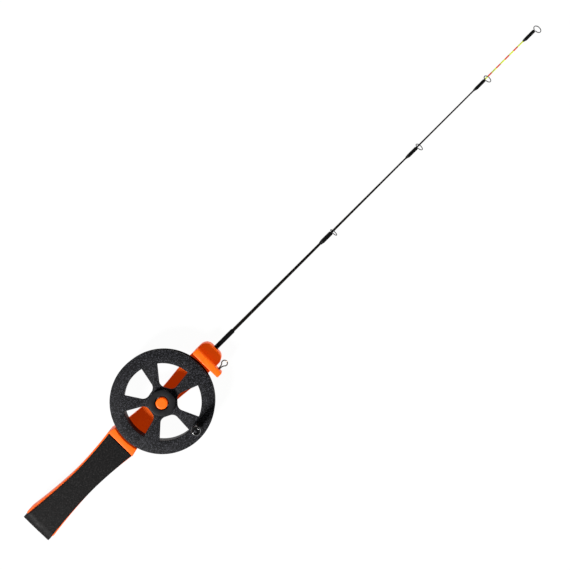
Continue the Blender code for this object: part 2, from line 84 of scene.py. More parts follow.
BLANK_START, BLANK_END = cad("blank")[0].x, cad("blank")[1].x
TIP_LOW, TIP_HIGH = cad("tip_section")
TIP_RADIUS = (TIP_HIGH.z - TIP_LOW.z) / 2.0
TIP_PAINTED = TIP_RADIUS + 0.1

# Sizes inside the pieces -----------------------------------------------------------------------

GAP = 0.3
FOAM_THICKNESS = 2.8
FOAM_BEND, FOAM_BEND_HEIGHT, FOAM_RIM, FOAM_CROWN = 8.0, 4.8, 0.45, 0.15
FOAM_BULGE = 0.4  # how far the bent strip stands off the butt
FOAM_SHIFT = -0.35  # glued on a little off centre
WAIST, WAIST_POWER = -80.0, 1.7
SHOULDER = -42.6
CORE_BUTT, CORE_WAIST, CORE_TOP = 13.3, 9.35, 12.3
FOAM_BUTT, FOAM_WAIST, FOAM_TOP = 12.3, 8.85, 11.4
BAR_HEIGHT, CROSSBAR_HEIGHT, ARM_UNDERSIDE, NOSE_HEIGHT = 6.5, 20.7, 9.5, 12.5
BAR_WAIST, BAR_FRONT, BAR_WAIST_PLACE = 6.95, 9.3, 0.5
BAR_SPREAD = 0.0021  # how fast the bar widens from its waist to the shoulder
BAR_TAPER, BAR_TAPER_DRAWN = 32.0, 31.9  # drawn a little short, so no point lies on a straight side
CORE_CORNER = 2.4
CROSSBAR_BACK, CROSSBAR_FRONT, CROSSBAR_LEFT = 40.0, 44.9, 9.5
NOSE_HALF_WIDTH, NOSE_CORNER = 9.45, 6.2
REEL_CLEARANCE = REEL_RADIUS + 1.0
EYE_PLACE = (-12.0, 15.0)

SWELL = 0.15  # how much fuller the wheel's rim and spokes are than in the CAD
WHEEL_BOTTOM = 18.3
WINDOWS, FIRST_SPOKE, KNOB_SPOKE = 5, -7.5, 4
WINDOW_OUTER, WINDOW_INNER = 28.2 - SWELL, 10.7
SPOKE_NEAR, SPOKE_FAR = (14.0, 2.45 + SWELL), (28.0, 5.85 + SWELL)
FLANGE_TOP, DRUM_INNER, DRUM_OUTER = 10.5, 28.5, 30.6
STEM_RADIUS, AXLE_RADIUS, HEAD_BORE = 6.6, 3.0, 5.1
BOSS_RADIUS, BOSS_TOP = 6.8, 7.2
BUTTON_HEIGHT = 3.6
KNOB_RECESS, KNOB_RECESS_DEPTH = 1.95, 1.9
PIN_BORE, PEG_RADIUS, PEG_BORE = 1.3, 0.8, 1.2
HEX_FLATS, HEX_TOP = 5.0, 7.5
POCKET_RADIUS, POCKET_DEPTH = 3.9, 3.2
SCREW_HEAD, SHANK_RADIUS, THREAD_TOP, THREADS = 1.75, 1.15, 10.4, 14
THREAD_HALF, THREAD_RISE = 0.17, 0.12
WASHER_BORES = {"friction_washer": 3.3, "spring_washer": 3.4, "screw_washer": 1.6}
EYE_LOOP_PLACE, EYE_LOOP_RADIUS, EYE_WIRE_RADIUS = 50.7, 2.1, 0.42

BLANK_RADII = ((42.0, 1.31), (75.0, 1.28), (160.0, 0.94), (245.0, 0.62), (325.8, 0.54))
WIRE_RADIUS, LEG_OFFSET, WRAP_FIT = 0.34, 0.36, 0.03
GUIDE_TURN, GUIDE_LEAN, GUIDE_NECK = 13.0, 12.0, 0.25
# CAD wrap and guide, ring radius
GUIDES = (
    ("wrap_1", "guide_1", 2.9),
    ("wrap_2", "guide_2", 2.9),
    ("wrap_3", "guide_3", 2.9),
    ("tip_wrap", "tip_guide", 2.95),
)
CAMERA_PLACE = (121.76, 30.0, 610.0)
CAMERA_TILT = (0.0392354, 0.0387658, -0.0023675)
SENSOR, LENS = 36.0, 52.02
KEY_POWER, KEY_SIZE, KEY_PLACE = 102.0, 0.50, (-1.55, -0.15, 1.50)
RIM_POWER, RIM_SIZE, RIM_PLACE = 5.0, 0.45, (1.00, -0.55, 0.45)
# height in the sky, brightness
SKY = ((0.10, 0.50), (0.70, 0.07))
FLOOR_GLOW = 0.965
FIRST_BAND, BAND_PITCH, BAND_LENGTH, BANDS = 334.7, 8.87, 4.3, 4

ROUND = 160
SMALL_ROUND = 48


# Materials -------------------------------------------------------------------------------------


class Finish:
    """A Principled material with small helpers for the nodes that vary it."""

    def __init__(self, name, colour, roughness, metallic=0.0):
        self.material = bpy.data.materials.new(name)
        self.material.use_nodes = True
        self.tree = self.material.node_tree
        self.shader = self.tree.nodes["Principled BSDF"]
        self.shader.inputs["Base Color"].default_value = (*colour, 1.0)
        self.shader.inputs["Roughness"].default_value = roughness
        self.shader.inputs["Metallic"].default_value = metallic
        self.place = self.tree.nodes.new("ShaderNodeTexCoord").outputs["Object"]

    def set(self, **values):
        for name, value in values.items():
            self.shader.inputs[name.replace("_", " ")].default_value = value

    def stretched(self, factors):
        mapping = self.tree.nodes.new("ShaderNodeMapping")
        mapping.inputs["Scale"].default_value = factors
        self.tree.links.new(self.place, mapping.inputs["Vector"])
        return mapping.outputs["Vector"]

    def noise(self, size_mm, detail=2.0, along=None):
        """Noise whose features are about this many millimetres across."""
        node = self.tree.nodes.new("ShaderNodeTexNoise")
        node.inputs["Scale"].default_value = 1.0 / (size_mm * MM)
        node.inputs["Detail"].default_value = detail
        self.tree.links.new(along or self.place, node.inputs["Vector"])
        return node.outputs["Fac"]

    def cells(self, size_mm):
        node = self.tree.nodes.new("ShaderNodeTexVoronoi")
        node.inputs["Scale"].default_value = 1.0 / (size_mm * MM)
        self.tree.links.new(self.place, node.inputs["Vector"])
        return node.outputs["Distance"]

    def ramp(self, value, stops):
        """Colours or greys between (place, colour) stops."""
        node = self.tree.nodes.new("ShaderNodeValToRGB")
        elements = node.color_ramp.elements
        while len(elements) < len(stops):
            elements.new(0.5)
        for element, (where, colour) in zip(elements, stops):
            element.position = where
            element.color = (*colour, 1.0) if len(colour) == 3 else (*colour * 3, 1.0)
        self.tree.links.new(value, node.inputs["Fac"])
        return node.outputs["Color"]

    def colour(self, output):
        self.tree.links.new(output, self.shader.inputs["Base Color"])

    def roughness(self, value, low, high):
        self.tree.links.new(
            self.ramp(value, ((0.3, (low,)), (0.7, (high,)))), self.shader.inputs["Roughness"]
        )

    def bump(self, height, depth_mm, strength=1.0):
        """Adds relief on top of what is there already."""
        node = self.tree.nodes.new("ShaderNodeBump")
        node.inputs["Distance"].default_value = depth_mm * MM
        node.inputs["Strength"].default_value = strength
        self.tree.links.new(height, node.inputs["Height"])
        before = self.shader.inputs["Normal"].links
        if before:
            self.tree.links.new(before[0].from_socket, node.inputs["Normal"])
        self.tree.links.new(node.outputs["Normal"], self.shader.inputs["Normal"])


def orange_plastic():
    """Translucent orange; a faint red glow stands for the light that bounces about inside it."""
    made = Finish("orange_plastic", (0.66, 0.098, 0.002), 0.42)
    made.colour(made.ramp(made.noise(14.0), ((0.3, (0.63, 0.090, 0.001)), (0.7, (0.69, 0.110, 0.003)))))
    made.roughness(made.noise(2.5, 4.0), 0.36, 0.48)
    made.bump(made.noise(0.35, 3.0), 0.02, 0.5)
    made.set(Emission_Color=(0.275, 0.016, 0.0002, 1.0), Emission_Strength=1.0)
    made.set(Specular_IOR_Level=0.14)
    return made.material


def foam():
    made = Finish("grip_foam", (0.02, 0.02, 0.02), 0.7)
    grain = made.noise(1.1, 5.0)
    stops = ((0.32, (0.001, 0.001, 0.001)), (0.55, (0.004, 0.0036, 0.0036)), (0.75, (0.020, 0.018, 0.018)))
    made.colour(made.ramp(grain, stops))
    made.roughness(made.noise(3.0, 3.0), 0.48, 0.60)
    made.bump(made.cells(0.8), 0.06, 0.6)
    made.bump(made.noise(0.5, 4.0), 0.06, 0.6)
    made.set(Specular_IOR_Level=0.055)
    return made.material


def speckled_plastic():
    made = Finish("speckled_plastic", (0.03, 0.03, 0.034), 0.5)
    grain = made.noise(0.7, 4.0)
    stops = ((0.38, (0.001, 0.001, 0.0012)), (0.52, (0.004, 0.004, 0.005)), (0.68, (0.046, 0.046, 0.054)))
    made.colour(made.ramp(grain, stops))
    made.roughness(made.noise(1.6, 3.0), 0.42, 0.66)
    made.bump(made.noise(0.45, 4.0), 0.09, 0.8)
    made.set(Specular_IOR_Level=0.10)
    return made.material


def smooth_plastic():
    made = Finish("smooth_plastic", (0.006, 0.006, 0.007), 0.4)
    made.colour(made.ramp(made.noise(6.0), ((0.3, (0.005, 0.005, 0.006)), (0.7, (0.007, 0.007, 0.008)))))
    made.roughness(made.noise(3.0, 4.0), 0.40, 0.52)
    made.bump(made.noise(0.6, 3.0), 0.01, 0.4)
    made.set(Specular_IOR_Level=0.12)
    return made.material


def gloss_plastic():
    made = Finish("gloss_plastic", (0.003, 0.003, 0.003), 0.12)
    made.colour(made.ramp(made.noise(4.0), ((0.3, (0.002, 0.002, 0.002)), (0.7, (0.004, 0.004, 0.004)))))
    made.roughness(made.noise(1.5, 4.0), 0.16, 0.28)
    made.set(Coat_Weight=0.3, Coat_Roughness=0.16)
    return made.material


def blank_fibre():
    made = Finish("blank", (0.02, 0.018, 0.015), 0.35)
    streaks = made.noise(1.0, 3.0, made.stretched((0.06, 1.0, 1.0)))
    stops = ((0.3, (0.003, 0.0025, 0.002)), (0.55, (0.006, 0.005, 0.004)), (0.75, (0.014, 0.012, 0.010)))
    made.colour(made.ramp(streaks, stops))
    made.roughness(made.noise(2.0, 3.0), 0.34, 0.50)
    made.bump(streaks, 0.02, 0.4)
    made.set(Specular_IOR_Level=0.035)
    return made.material


def shrink_tube():
    made = Finish("wrap", (0.004, 0.004, 0.004), 0.35)
    ripple = made.noise(1.4, 3.0, made.stretched((1.0, 0.35, 0.35)))
    made.colour(made.ramp(ripple, ((0.3, (0.002, 0.002, 0.002)), (0.7, (0.004, 0.004, 0.004)))))
    made.roughness(made.noise(1.0, 3.0), 0.38, 0.54)
    made.bump(ripple, 0.04, 0.5)
    made.set(Specular_IOR_Level=0.055)
    return made.material


def paint(name, dark, light):
    made = Finish(name, light, 0.3)
    made.colour(made.ramp(made.noise(1.2, 3.0), ((0.35, dark), (0.65, light))))
    made.roughness(made.noise(0.8, 3.0), 0.22, 0.38)
    made.bump(made.noise(0.7, 2.0), 0.01, 0.4)
    made.set(Specular_IOR_Level=0.25)
    return made.material


def drawn_wire(name, dark, light, roughness):
    made = Finish(name, light, roughness, 1.0)
    lines = made.noise(0.25, 3.0, made.stretched((0.15, 1.0, 1.0)))
    made.colour(made.ramp(lines, ((0.3, dark), (0.7, light))))
    made.roughness(made.noise(0.8, 3.0), roughness - 0.08, roughness + 0.10)
    made.bump(lines, 0.008, 0.4)
    return made.material


def washer_fibre():
    made = Finish("washer_fibre", (0.1, 0.085, 0.07), 0.75)
    made.colour(made.ramp(made.noise(0.5, 5.0), ((0.3, (0.06, 0.05, 0.04)), (0.7, (0.13, 0.115, 0.095)))))
    made.bump(made.noise(0.3, 4.0), 0.03, 0.6)
    return made.material


# Mesh helpers ----------------------------------------------------------------------------------


def holder(name, data, *materials):
    made = bpy.data.objects.new(name, data)
    scene.collection.objects.link(made)
    for material in materials:
        made.data.materials.append(material)
    return made


def solid(name, mesh, material):
    """An object from a bmesh."""
    bmesh.ops.recalc_face_normals(mesh, faces=mesh.faces)
    data = bpy.data.meshes.new(name)
    mesh.to_mesh(data)
    mesh.free()
    return holder(name, data, material)


def evaluated(piece):
    """A new mesh of the object as its modifiers or its curve leave it."""
    graph = bpy.context.evaluated_depsgraph_get()
    return bpy.data.meshes.new_from_object(piece.evaluated_get(graph))


def changed(piece, *tools):
    """The piece after Boolean (operation, object) tools, which are removed."""
    for operation, tool in tools:
        change = piece.modifiers.new(tool.name, "BOOLEAN")
        change.operation = operation
        change.solver = "EXACT"
        change.object = tool
    made = evaluated(piece)
    piece.modifiers.clear()
    old, piece.data = piece.data, made
    bpy.data.meshes.remove(old)
    for _, tool in tools:
        bpy.data.objects.remove(tool)
    return piece


def settle(piece, body, slot, *nodes):
    """Moves a finished piece into the row frame, smooths it and hands it to its body."""
    if piece.type == "CURVE":
        data = evaluated(piece)
        name, materials = piece.name, list(piece.data.materials)
        bpy.data.objects.remove(piece)
        data.materials.clear()
        piece = holder(name, data, *materials)
    mesh = bmesh.new()
    mesh.from_mesh(piece.data)
    bmesh.ops.remove_doubles(mesh, verts=mesh.verts, dist=0.0005)
    bmesh.ops.recalc_face_normals(mesh, faces=mesh.faces)
    mesh.to_mesh(piece.data)
    mesh.free()
    piece.data.transform(Matrix.Translation(REEL) @ Matrix.Scale(MM, 4))
    piece.data.shade_smooth()
    piece.data.set_sharp_from_angle(angle=math.radians(32.0))
    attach(piece, body)
    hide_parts(*nodes)
    return piece


def arc(centre, radius, start, end, steps):
    points = []
    for step in range(steps + 1):
        angle = math.radians(start + (end - start) * step / steps)
        points.append((centre[0] + radius * math.cos(angle), centre[1] + radius * math.sin(angle)))
    return points


def circle(radius, segments, centre=(0.0, 0.0)):
    return arc(centre, radius, 0.0, 360.0 * (segments - 1) / segments, segments - 1)


def rounded(corners, steps=6):
    """An outline of (x, y, corner radius) points with its corners turned into arcs."""
    outline = []
    for here, (x, y, radius) in enumerate(corners):
        corner = Vector((x, y))
        if radius == 0.0:
            outline.append((x, y))
            continue
        before = (Vector(corners[here - 1][:2]) - corner).normalized()
        after = (Vector(corners[(here + 1) % len(corners)][:2]) - corner).normalized()
        half = before.angle(after) / 2.0
        centre = corner + (before + after).normalized() * radius / math.sin(half)
        first = corner + before * radius / math.tan(half) - centre
        last = corner + after * radius / math.tan(half) - centre
        swing = first.angle_signed(last)
        for step in range(steps + 1):
            spoke = first.copy()
            spoke.rotate(Matrix.Rotation(-swing * step / steps, 2))
            outline.append(tuple(centre + spoke))
    return outline


def loft(rings, closed=False):
    mesh = bmesh.new()
    rows = [[mesh.verts.new(point) for point in ring] for ring in rings]
    pairs = list(zip(rows, rows[1:]))
    if closed:
        pairs.append((rows[-1], rows[0]))
    else:
        mesh.faces.new(rows[0])
        mesh.faces.new(rows[-1])
    for first, second in pairs:
        for here in range(len(first)):
            after = (here + 1) % len(first)
            mesh.faces.new((first[here], first[after], second[after], second[here]))
    return mesh


def prism(outline, low, high):
    return loft([[(x, y, z) for x, y in outline] for z in (low, high)])


def turned(corners, segments=ROUND, centre=(0.0, 0.0), steps=4):
    """A solid turned about Z from (radius, height, corner radius) points."""
    profile = rounded(corners, steps)
    spin = circle(1.0, segments)
    mesh = bmesh.new()
    rings = []
    for radius, height in profile:
        if radius < 1e-6:
            rings.append([mesh.verts.new((*centre, height))] * segments)
        else:
            places = [(centre[0] + x * radius, centre[1] + y * radius, height) for x, y in spin]
            rings.append([mesh.verts.new(place) for place in places])
    for first, second in zip(rings, rings[1:] + rings[:1]):
        for here in range(segments):
            after = (here + 1) % segments
            corners_here = [first[here], first[after], second[after], second[here]]
            distinct = [c for i, c in enumerate(corners_here) if c not in corners_here[:i]]
            if len(distinct) > 2:
                mesh.faces.new(distinct)
    return mesh


def plate(name, outlines, low, high, edge, material):
    """A flat piece with rounded rims: the first outline less the others, as a filled curve."""
    curve = bpy.data.curves.new(name, "CURVE")
    curve.dimensions = "2D"
    curve.fill_mode = "BOTH"
    curve.extrude = (high - low) / 2.0 - edge
    curve.bevel_depth = edge
    curve.bevel_resolution = 3
    curve.offset = -edge
    for outline in outlines:
        spline = curve.splines.new("POLY")
        spline.points.add(len(outline) - 1)
        for point, (x, y) in zip(spline.points, outline):
            point.co = (x, y, 0.0, 1.0)
        spline.use_cyclic_u = True
    drawn = holder(name + "_drawn", curve)
    data = evaluated(drawn)
    bpy.data.objects.remove(drawn)
    mesh = bmesh.new()
    mesh.from_mesh(data)
    bpy.data.meshes.remove(data)
    bmesh.ops.remove_doubles(mesh, verts=mesh.verts, dist=0.0005)
    for vert in mesh.verts:
        vert.co.z += (low + high) / 2.0
        for level in (low, high):
            if abs(vert.co.z - level) < 0.001:
                vert.co.z = level
    return solid(name, mesh, material)


def section(x, radius, sides, centre):
    return [(x, y, z) for y, z in circle(radius, sides, centre)]


def rod(stations, sides, centre=None):
    return loft([section(x, radius, sides, centre or (0.0, WHIP_HEIGHT)) for x, radius in stations])


def smooth_line(points, steps=6):
    """A Catmull-Rom line through the points."""
    line = []
    padded = [points[0] * 2.0 - points[1], *points, points[-1] * 2.0 - points[-2]]
    for a, b, c, d in zip(padded, padded[1:], padded[2:], padded[3:]):
        for step in range(steps):
            t = step / steps
            line.append(
                0.5
                * (
                    2.0 * b
                    + (c - a) * t
                    + (2.0 * a - 5.0 * b + 4.0 * c - d) * t * t
                    + (3.0 * b - a - 3.0 * c + d) * t * t * t
                )
            )
    return line + [points[-1]]


def wire(name, points, radius, material):
    curve = bpy.data.curves.new(name, "CURVE")
    curve.dimensions = "3D"
    curve.bevel_depth = radius
    curve.bevel_resolution = 4
    curve.use_fill_caps = True
    spline = curve.splines.new("POLY")
    spline.points.add(len(points) - 1)
    for point, target in zip(spline.points, points):
        point.co = (*target, 1.0)
    return holder(name, curve, material)


# The frame body --------------------------------------------------------------------------------


def spaced(start, end, count):
    return [start + (end - start) * step / count for step in range(count + 1)]


def smooth_step(value):
    value = min(max(value, 0.0), 1.0)
    return value * value * (3.0 - 2.0 * value)


def handle_half_width(x, butt, waist, top, butt_end):
    if x < WAIST:
        return waist + (butt - waist) * ((WAIST - x) / (WAIST - butt_end)) ** WAIST_POWER
    return waist + (top - waist) * ((x - WAIST) / (SHOULDER - WAIST)) ** WAIST_POWER


def core_half_width(x):
    if x > SHOULDER:
        return CORE_TOP - 0.5
    return handle_half_width(x, CORE_BUTT, CORE_WAIST, CORE_TOP, CORE_END)


def foam_half_width(x):
    return handle_half_width(x, FOAM_BUTT, FOAM_WAIST, FOAM_TOP, FOAM_END)


def bar_half_width(x):
    if x < BAR_WAIST_PLACE:
        return BAR_WAIST + BAR_SPREAD * (BAR_WAIST_PLACE - x) ** 2
    return BAR_WAIST + (BAR_FRONT - BAR_WAIST) * smooth_step((x - BAR_WAIST_PLACE) / BAR_TAPER)


def mirrored(places, half_width):
    upper = [(x, half_width(x)) for x in places]
    return [(x, -y) for x, y in upper] + list(reversed(upper))


def box_outline(x0, x1, y0, y1, radius=0.0):
    return rounded([(x0, y0, radius), (x1, y0, radius), (x1, y1, radius), (x0, y1, radius)], 5)


def side_prism(outline, half_width):
    """An outline in XZ, drawn out across the rod."""
    return loft([[(x, y, z) for x, z in outline] for y in (-half_width, half_width)])


def handle_core(material):
    low, high = FOAM_THICKNESS + GAP, FOAM_HIGH - FOAM_THICKNESS - GAP
    places = [CORE_END, *spaced(CORE_END + 1.5 * CORE_CORNER, SHOULDER + 1.5, 38)]
    sides = mirrored(places, core_half_width)
    outline = rounded([(x, y, CORE_CORNER if x == CORE_END else 0.0) for x, y in sides], 8)
    core = plate("frame_moulding_look", [outline], low, high, 0.5, material)
    butt = FOAM_BEND_HEIGHT - FOAM_THICKNESS
    profile = rounded(
        [(CORE_END, low, butt), (0.0, low, 0.0), (0.0, high, 0.0), (CORE_END, high, butt)], 8
    )
    return changed(core, ("INTERSECT", solid("butt_shape", side_prism(profile, 20.0), material)))


def shoulder_outline():
    """Chamfered corners beside a hollow that clears the reel."""
    mouth = math.degrees(math.asin(10.9 / REEL_CLEARANCE))
    hollow = arc((0.0, 0.0), REEL_CLEARANCE, 180.0 + mouth, 180.0 - mouth, 40)
    return [(SHOULDER, -CORE_TOP), *hollow, (SHOULDER, CORE_TOP)]


def nose_outline():
    back = CROSSBAR_FRONT - 2.0
    corners = [(back, -1.0, 0.0), (NOSE_END, -1.0, NOSE_CORNER), (NOSE_END, 1.0, NOSE_CORNER)]
    corners.append((back, 1.0, 0.0))
    return rounded([(x, side * NOSE_HALF_WIDTH, radius) for x, side, radius in corners], 16)


def frame_moulding(material):
    """Rounded plates joined into one solid; no two that meet have faces in one plane."""
    crossbar_right = -NOSE_HALF_WIDTH + 0.1
    core = handle_core(material)
    taper_end = BAR_WAIST_PLACE + BAR_TAPER_DRAWN
    bar_places = [*spaced(SHOULDER + 1.5, taper_end, 52), CROSSBAR_FRONT - 1.0]
    bar = mirrored(bar_places, bar_half_width)
    crossbar = box_outline(CROSSBAR_BACK, CROSSBAR_FRONT, crossbar_right, CROSSBAR_LEFT, 0.8)
    arm = box_outline(CROSSBAR_BACK + 0.1, CROSSBAR_FRONT - 0.12, ARM_END, 0.0, 0.8)
    plates = (
        ("shoulder", shoulder_outline(), 0.0, FOAM_HIGH, 0.55),
        ("bar", bar, 0.02, BAR_HEIGHT, 0.5),
        ("crossbar", crossbar, 0.0, CROSSBAR_HEIGHT, 0.5),
        ("arm", arm, ARM_UNDERSIDE, CROSSBAR_HEIGHT - 0.12, 0.5),
        ("nose", nose_outline(), 0.04, NOSE_HEIGHT, 0.7),
        ("boss", circle(BOSS_RADIUS, 72), BAR_HEIGHT - 1.5, BOSS_TOP, 0.3),
    )
    added = [("UNION", plate(name, [outline], low, high, edge, material))
             for name, outline, low, high, edge in plates]
    ridge = ((CROSSBAR_BACK + 0.3, 0.3), (CROSSBAR_BACK + 0.7, 0.6), (CROSSBAR_FRONT - 0.7, 0.6),
             (CROSSBAR_FRONT - 0.3, 0.3))
    weld_line = rod(ridge, 24, (0.8, CROSSBAR_HEIGHT - 0.42))
    added.append(("UNION", solid("weld_line", weld_line, material)))
    socket_radius = SLEEVE_RADIUS + 0.12
    socket = rod(
        (
            (CROSSBAR_BACK + 0.8, socket_radius),
            (NOSE_END - 0.35, socket_radius),
            (NOSE_END + 1.0, socket_radius + 1.35),
        ),
        SMALL_ROUND,
    )
    eye_hole = rod(((41.0, 0.9), (CROSSBAR_FRONT + 1.0, 0.9)), 24, EYE_PLACE)
    pocket = turned(
        [(0.0, -1.0, 0.0), (POCKET_RADIUS + 1.2, -1.0, 0.0), (POCKET_RADIUS, 0.25, 0.2),
         (POCKET_RADIUS, POCKET_DEPTH, 0.3), (0.0, POCKET_DEPTH, 0.0)], 64)
    hexagon = circle((HEX_FLATS + 2.0 * GAP) / math.sqrt(3.0), 6)
    cut = [
        ("DIFFERENCE", solid("socket", socket, material)),
        ("DIFFERENCE", solid("eye_hole", eye_hole, material)),
        ("DIFFERENCE", solid("pocket", pocket, material)),
        ("DIFFERENCE", solid("screw_hole", prism(circle(1.5, 24), -1.0, FOOT_BOTTOM), material)),
        ("DIFFERENCE", solid("axle_hole", prism(hexagon, FOOT_BOTTOM - GAP, 9.0), material)),
    ]
    made = changed(core, *added, *cut)
    settle(made, "frame", "orange_plastic", "frame_moulding")


def foam_route():
    """The strip's outer line, front and butt: place, direction inwards, how far a cut end sinks."""
    turn = FOAM_END - FOAM_BULGE + FOAM_BEND
    centre_z = FOAM_HIGH - FOAM_BEND_HEIGHT
    rims = ((0.0, FOAM_RIM), (0.12, 0.34), (0.35, 0.12))
    route = [(FOAM_START - back, FOAM_HIGH, 0.0, -1.0, sunk) for back, sunk in rims]
    route += [(x, FOAM_HIGH, 0.0, -1.0, 0.0) for x in spaced(FOAM_START - FOAM_RIM, turn + 0.5, 75)]
    for out_x, out_z in arc((0.0, 0.0), 1.0, 90.0, 180.0, 18):
        inwards = -Vector((out_x / FOAM_BEND, out_z / FOAM_BEND_HEIGHT)).normalized()
        place = (turn + FOAM_BEND * out_x, centre_z + FOAM_BEND_HEIGHT * out_z)
        route.append((*place, *inwards, 0.0))
    lower = [(x, FOAM_HIGH - z, dx, -dz, sunk) for x, z, dx, dz, sunk in reversed(route)]
    return route + lower


def foam_section(half, sunk):
    """(across, inwards) points round the strip: soft outer rims, a slight crown, square inside."""
    flat = half - FOAM_RIM
    face = [(y, sunk + FOAM_CROWN * (y / half) ** 2) for y in spaced(-flat, flat, 14)]
    rim = sunk + FOAM_CROWN * (flat / half) ** 2 + FOAM_RIM
    right = arc((flat, rim), FOAM_RIM, -75.0, 0.0, 5)
    left = [(-y, depth) for y, depth in reversed(right)]
    inner = [(half, FOAM_THICKNESS - 0.2), (half - 0.2, FOAM_THICKNESS)]
    return face + right + inner + [(-y, depth) for y, depth in reversed(inner)] + left


def grip_foam(material):
    """The glued strip, its outer skin a little uneven."""
    rings = []
    for x, z, dx, dz, sunk in foam_route():
        ring = []
        for y, depth in foam_section(foam_half_width(x) - 0.6 * sunk, sunk):
            if depth < FOAM_RIM:
                depth += 0.05 * (1.0 + noise.noise(Vector((x, y, z)) * 0.45))
            ring.append((x + dx * depth, y + FOAM_SHIFT, z + dz * depth))
        rings.append(ring)
    piece = solid("grip_foam_look", loft(rings), material)
    settle(piece, "frame", "foam", "grip_foam")


def axle_pin(material):
    """The orange button in the hub, on its shank with a six-sided foot."""
    head_bottom = BUTTON_TOP - BUTTON_HEIGHT
    profile = [
        (0.0, HEX_TOP - 0.1, 0.0),
        (AXLE_RADIUS, HEX_TOP - 0.1, 0.0),
        (AXLE_RADIUS, head_bottom, 0.2),
        (BUTTON_RADIUS, head_bottom, 0.3),
        (BUTTON_RADIUS, BUTTON_TOP - 0.15, 0.75),
        (BUTTON_RADIUS - 1.3, BUTTON_TOP, 0.8),
        (0.0, BUTTON_TOP, 0.0),
    ]
    foot = plate("foot", [circle(HEX_FLATS / math.sqrt(3.0), 6)], FOOT_BOTTOM, HEX_TOP, 0.2, material)
    bore = solid("bore", prism(circle(1.35, 24), FOOT_BOTTOM - 1.0, 12.0), material)
    pin = solid("axle_pin_look", turned(profile, 96), material)
    settle(changed(pin, ("UNION", foot), ("DIFFERENCE", bore)), "frame", "orange_plastic", "axle_pin")


def washer(node, rise, slot, material):
    """A ring with rounded rims, its bore standing higher than its rim by the rise."""
    low, high = cad(node)
    inner = WASHER_BORES[node]
    top = high.z - rise
    profile = [
        (inner, low.z + rise, 0.08),
        (high.x, low.z, 0.08),
        (high.x, top, 0.08),
        (inner, high.z, 0.08),
    ]
    settle(solid(node + "_look", turned(profile, 72), material), "frame", slot, node)


def line_eye(material):
    """A cotter of bent wire: two legs in the arm, a teardrop loop in front of it."""
    y, z = EYE_PLACE
    loop = arc((EYE_LOOP_PLACE, y), EYE_LOOP_RADIUS, 145.0, -145.0, 16)
    ends = [(41.5, y + 0.43), (45.2, y + 0.43), (46.9, y + 0.46), (47.9, y + 0.66)]
    back = [(x, 2.0 * y - side) for x, side in reversed(ends)]
    points = [Vector((x, side, z)) for x, side in ends + loop + back]
    eye = wire("line_eye_look", smooth_line(points), EYE_WIRE_RADIUS, material)
    settle(eye, "frame", "eye_wire", "line_eye")


# The drag screw --------------------------------------------------------------------------------


def drag_screw(material):
    """Pan head with a cross recess, and a threaded shank."""
    low, high = cad("drag_screw")
    radius, head_top = high.x, low.z + SCREW_HEAD
    profile = [
        (0.0, low.z, 0.0),
        (radius - 0.9, low.z, 0.8),
        (radius, low.z + 0.8, 0.5),
        (radius, head_top, 0.15),
        (SHANK_RADIUS, head_top, 0.1),
    ]
    for height in spaced(head_top + 0.8, THREAD_TOP, THREADS):
        profile.append((SHANK_RADIUS, height - THREAD_HALF, 0.0))
        profile.append((SHANK_RADIUS + THREAD_RISE, height, 0.0))
        profile.append((SHANK_RADIUS, height + THREAD_HALF, 0.0))
    profile += [(SHANK_RADIUS, high.z - 0.4, 0.1), (0.0, high.z, 0.0)]
    screw = solid("drag_screw_look", turned(profile, 64), material)
    arms = [box_outline(-1.7, 1.7, -0.35, 0.35, 0.2), box_outline(-0.35, 0.35, -1.7, 1.7, 0.2)]
    slots = [("DIFFERENCE", solid("slot", prism(arm, -1.0, low.z + 1.0), material)) for arm in arms]
    settle(changed(screw, *slots), "drag_screw", "steel", "drag_screw")


# The spool -------------------------------------------------------------------------------------


def window_outline(index):
    """The opening between two spokes."""
    half_turn = math.radians(180.0 / WINDOWS)
    sides = []
    for distance, half_width in (SPOKE_NEAR, SPOKE_FAR):
        x = distance * math.cos(half_turn) + half_width * math.sin(half_turn)
        y = distance * math.sin(half_turn) - half_width * math.cos(half_turn)
        sides.append(Vector((x, y)))
    slope = (sides[1].y - sides[0].y) / (sides[1].x - sides[0].x)
    inner_y = sides[0].y + slope * (WINDOW_INNER - sides[0].x)
    edge = math.degrees(math.atan2(sides[1].y, sides[1].x))
    outer = arc((0.0, 0.0), WINDOW_OUTER, -edge, edge, 30)
    corners = [(WINDOW_INNER, inner_y, 5.0), (WINDOW_INNER, -inner_y, 5.0)]
    corners += [(x, y, 0.0) for x, y in outer]
    turn = Matrix.Rotation(math.radians(FIRST_SPOKE + 360.0 / WINDOWS * (index + 0.5)), 2)
    return [tuple(turn @ Vector(point)) for point in rounded(corners, 14)]


def spoke_spots(radius):
    """Where a circle crosses each spoke's middle, but for the knob's."""
    spots = []
    for index in range(WINDOWS):
        angle = math.radians(FIRST_SPOKE + 360.0 / WINDOWS * index)
        if index != KNOB_SPOKE:
            spots.append((radius * math.cos(angle), radius * math.sin(angle)))
    return spots


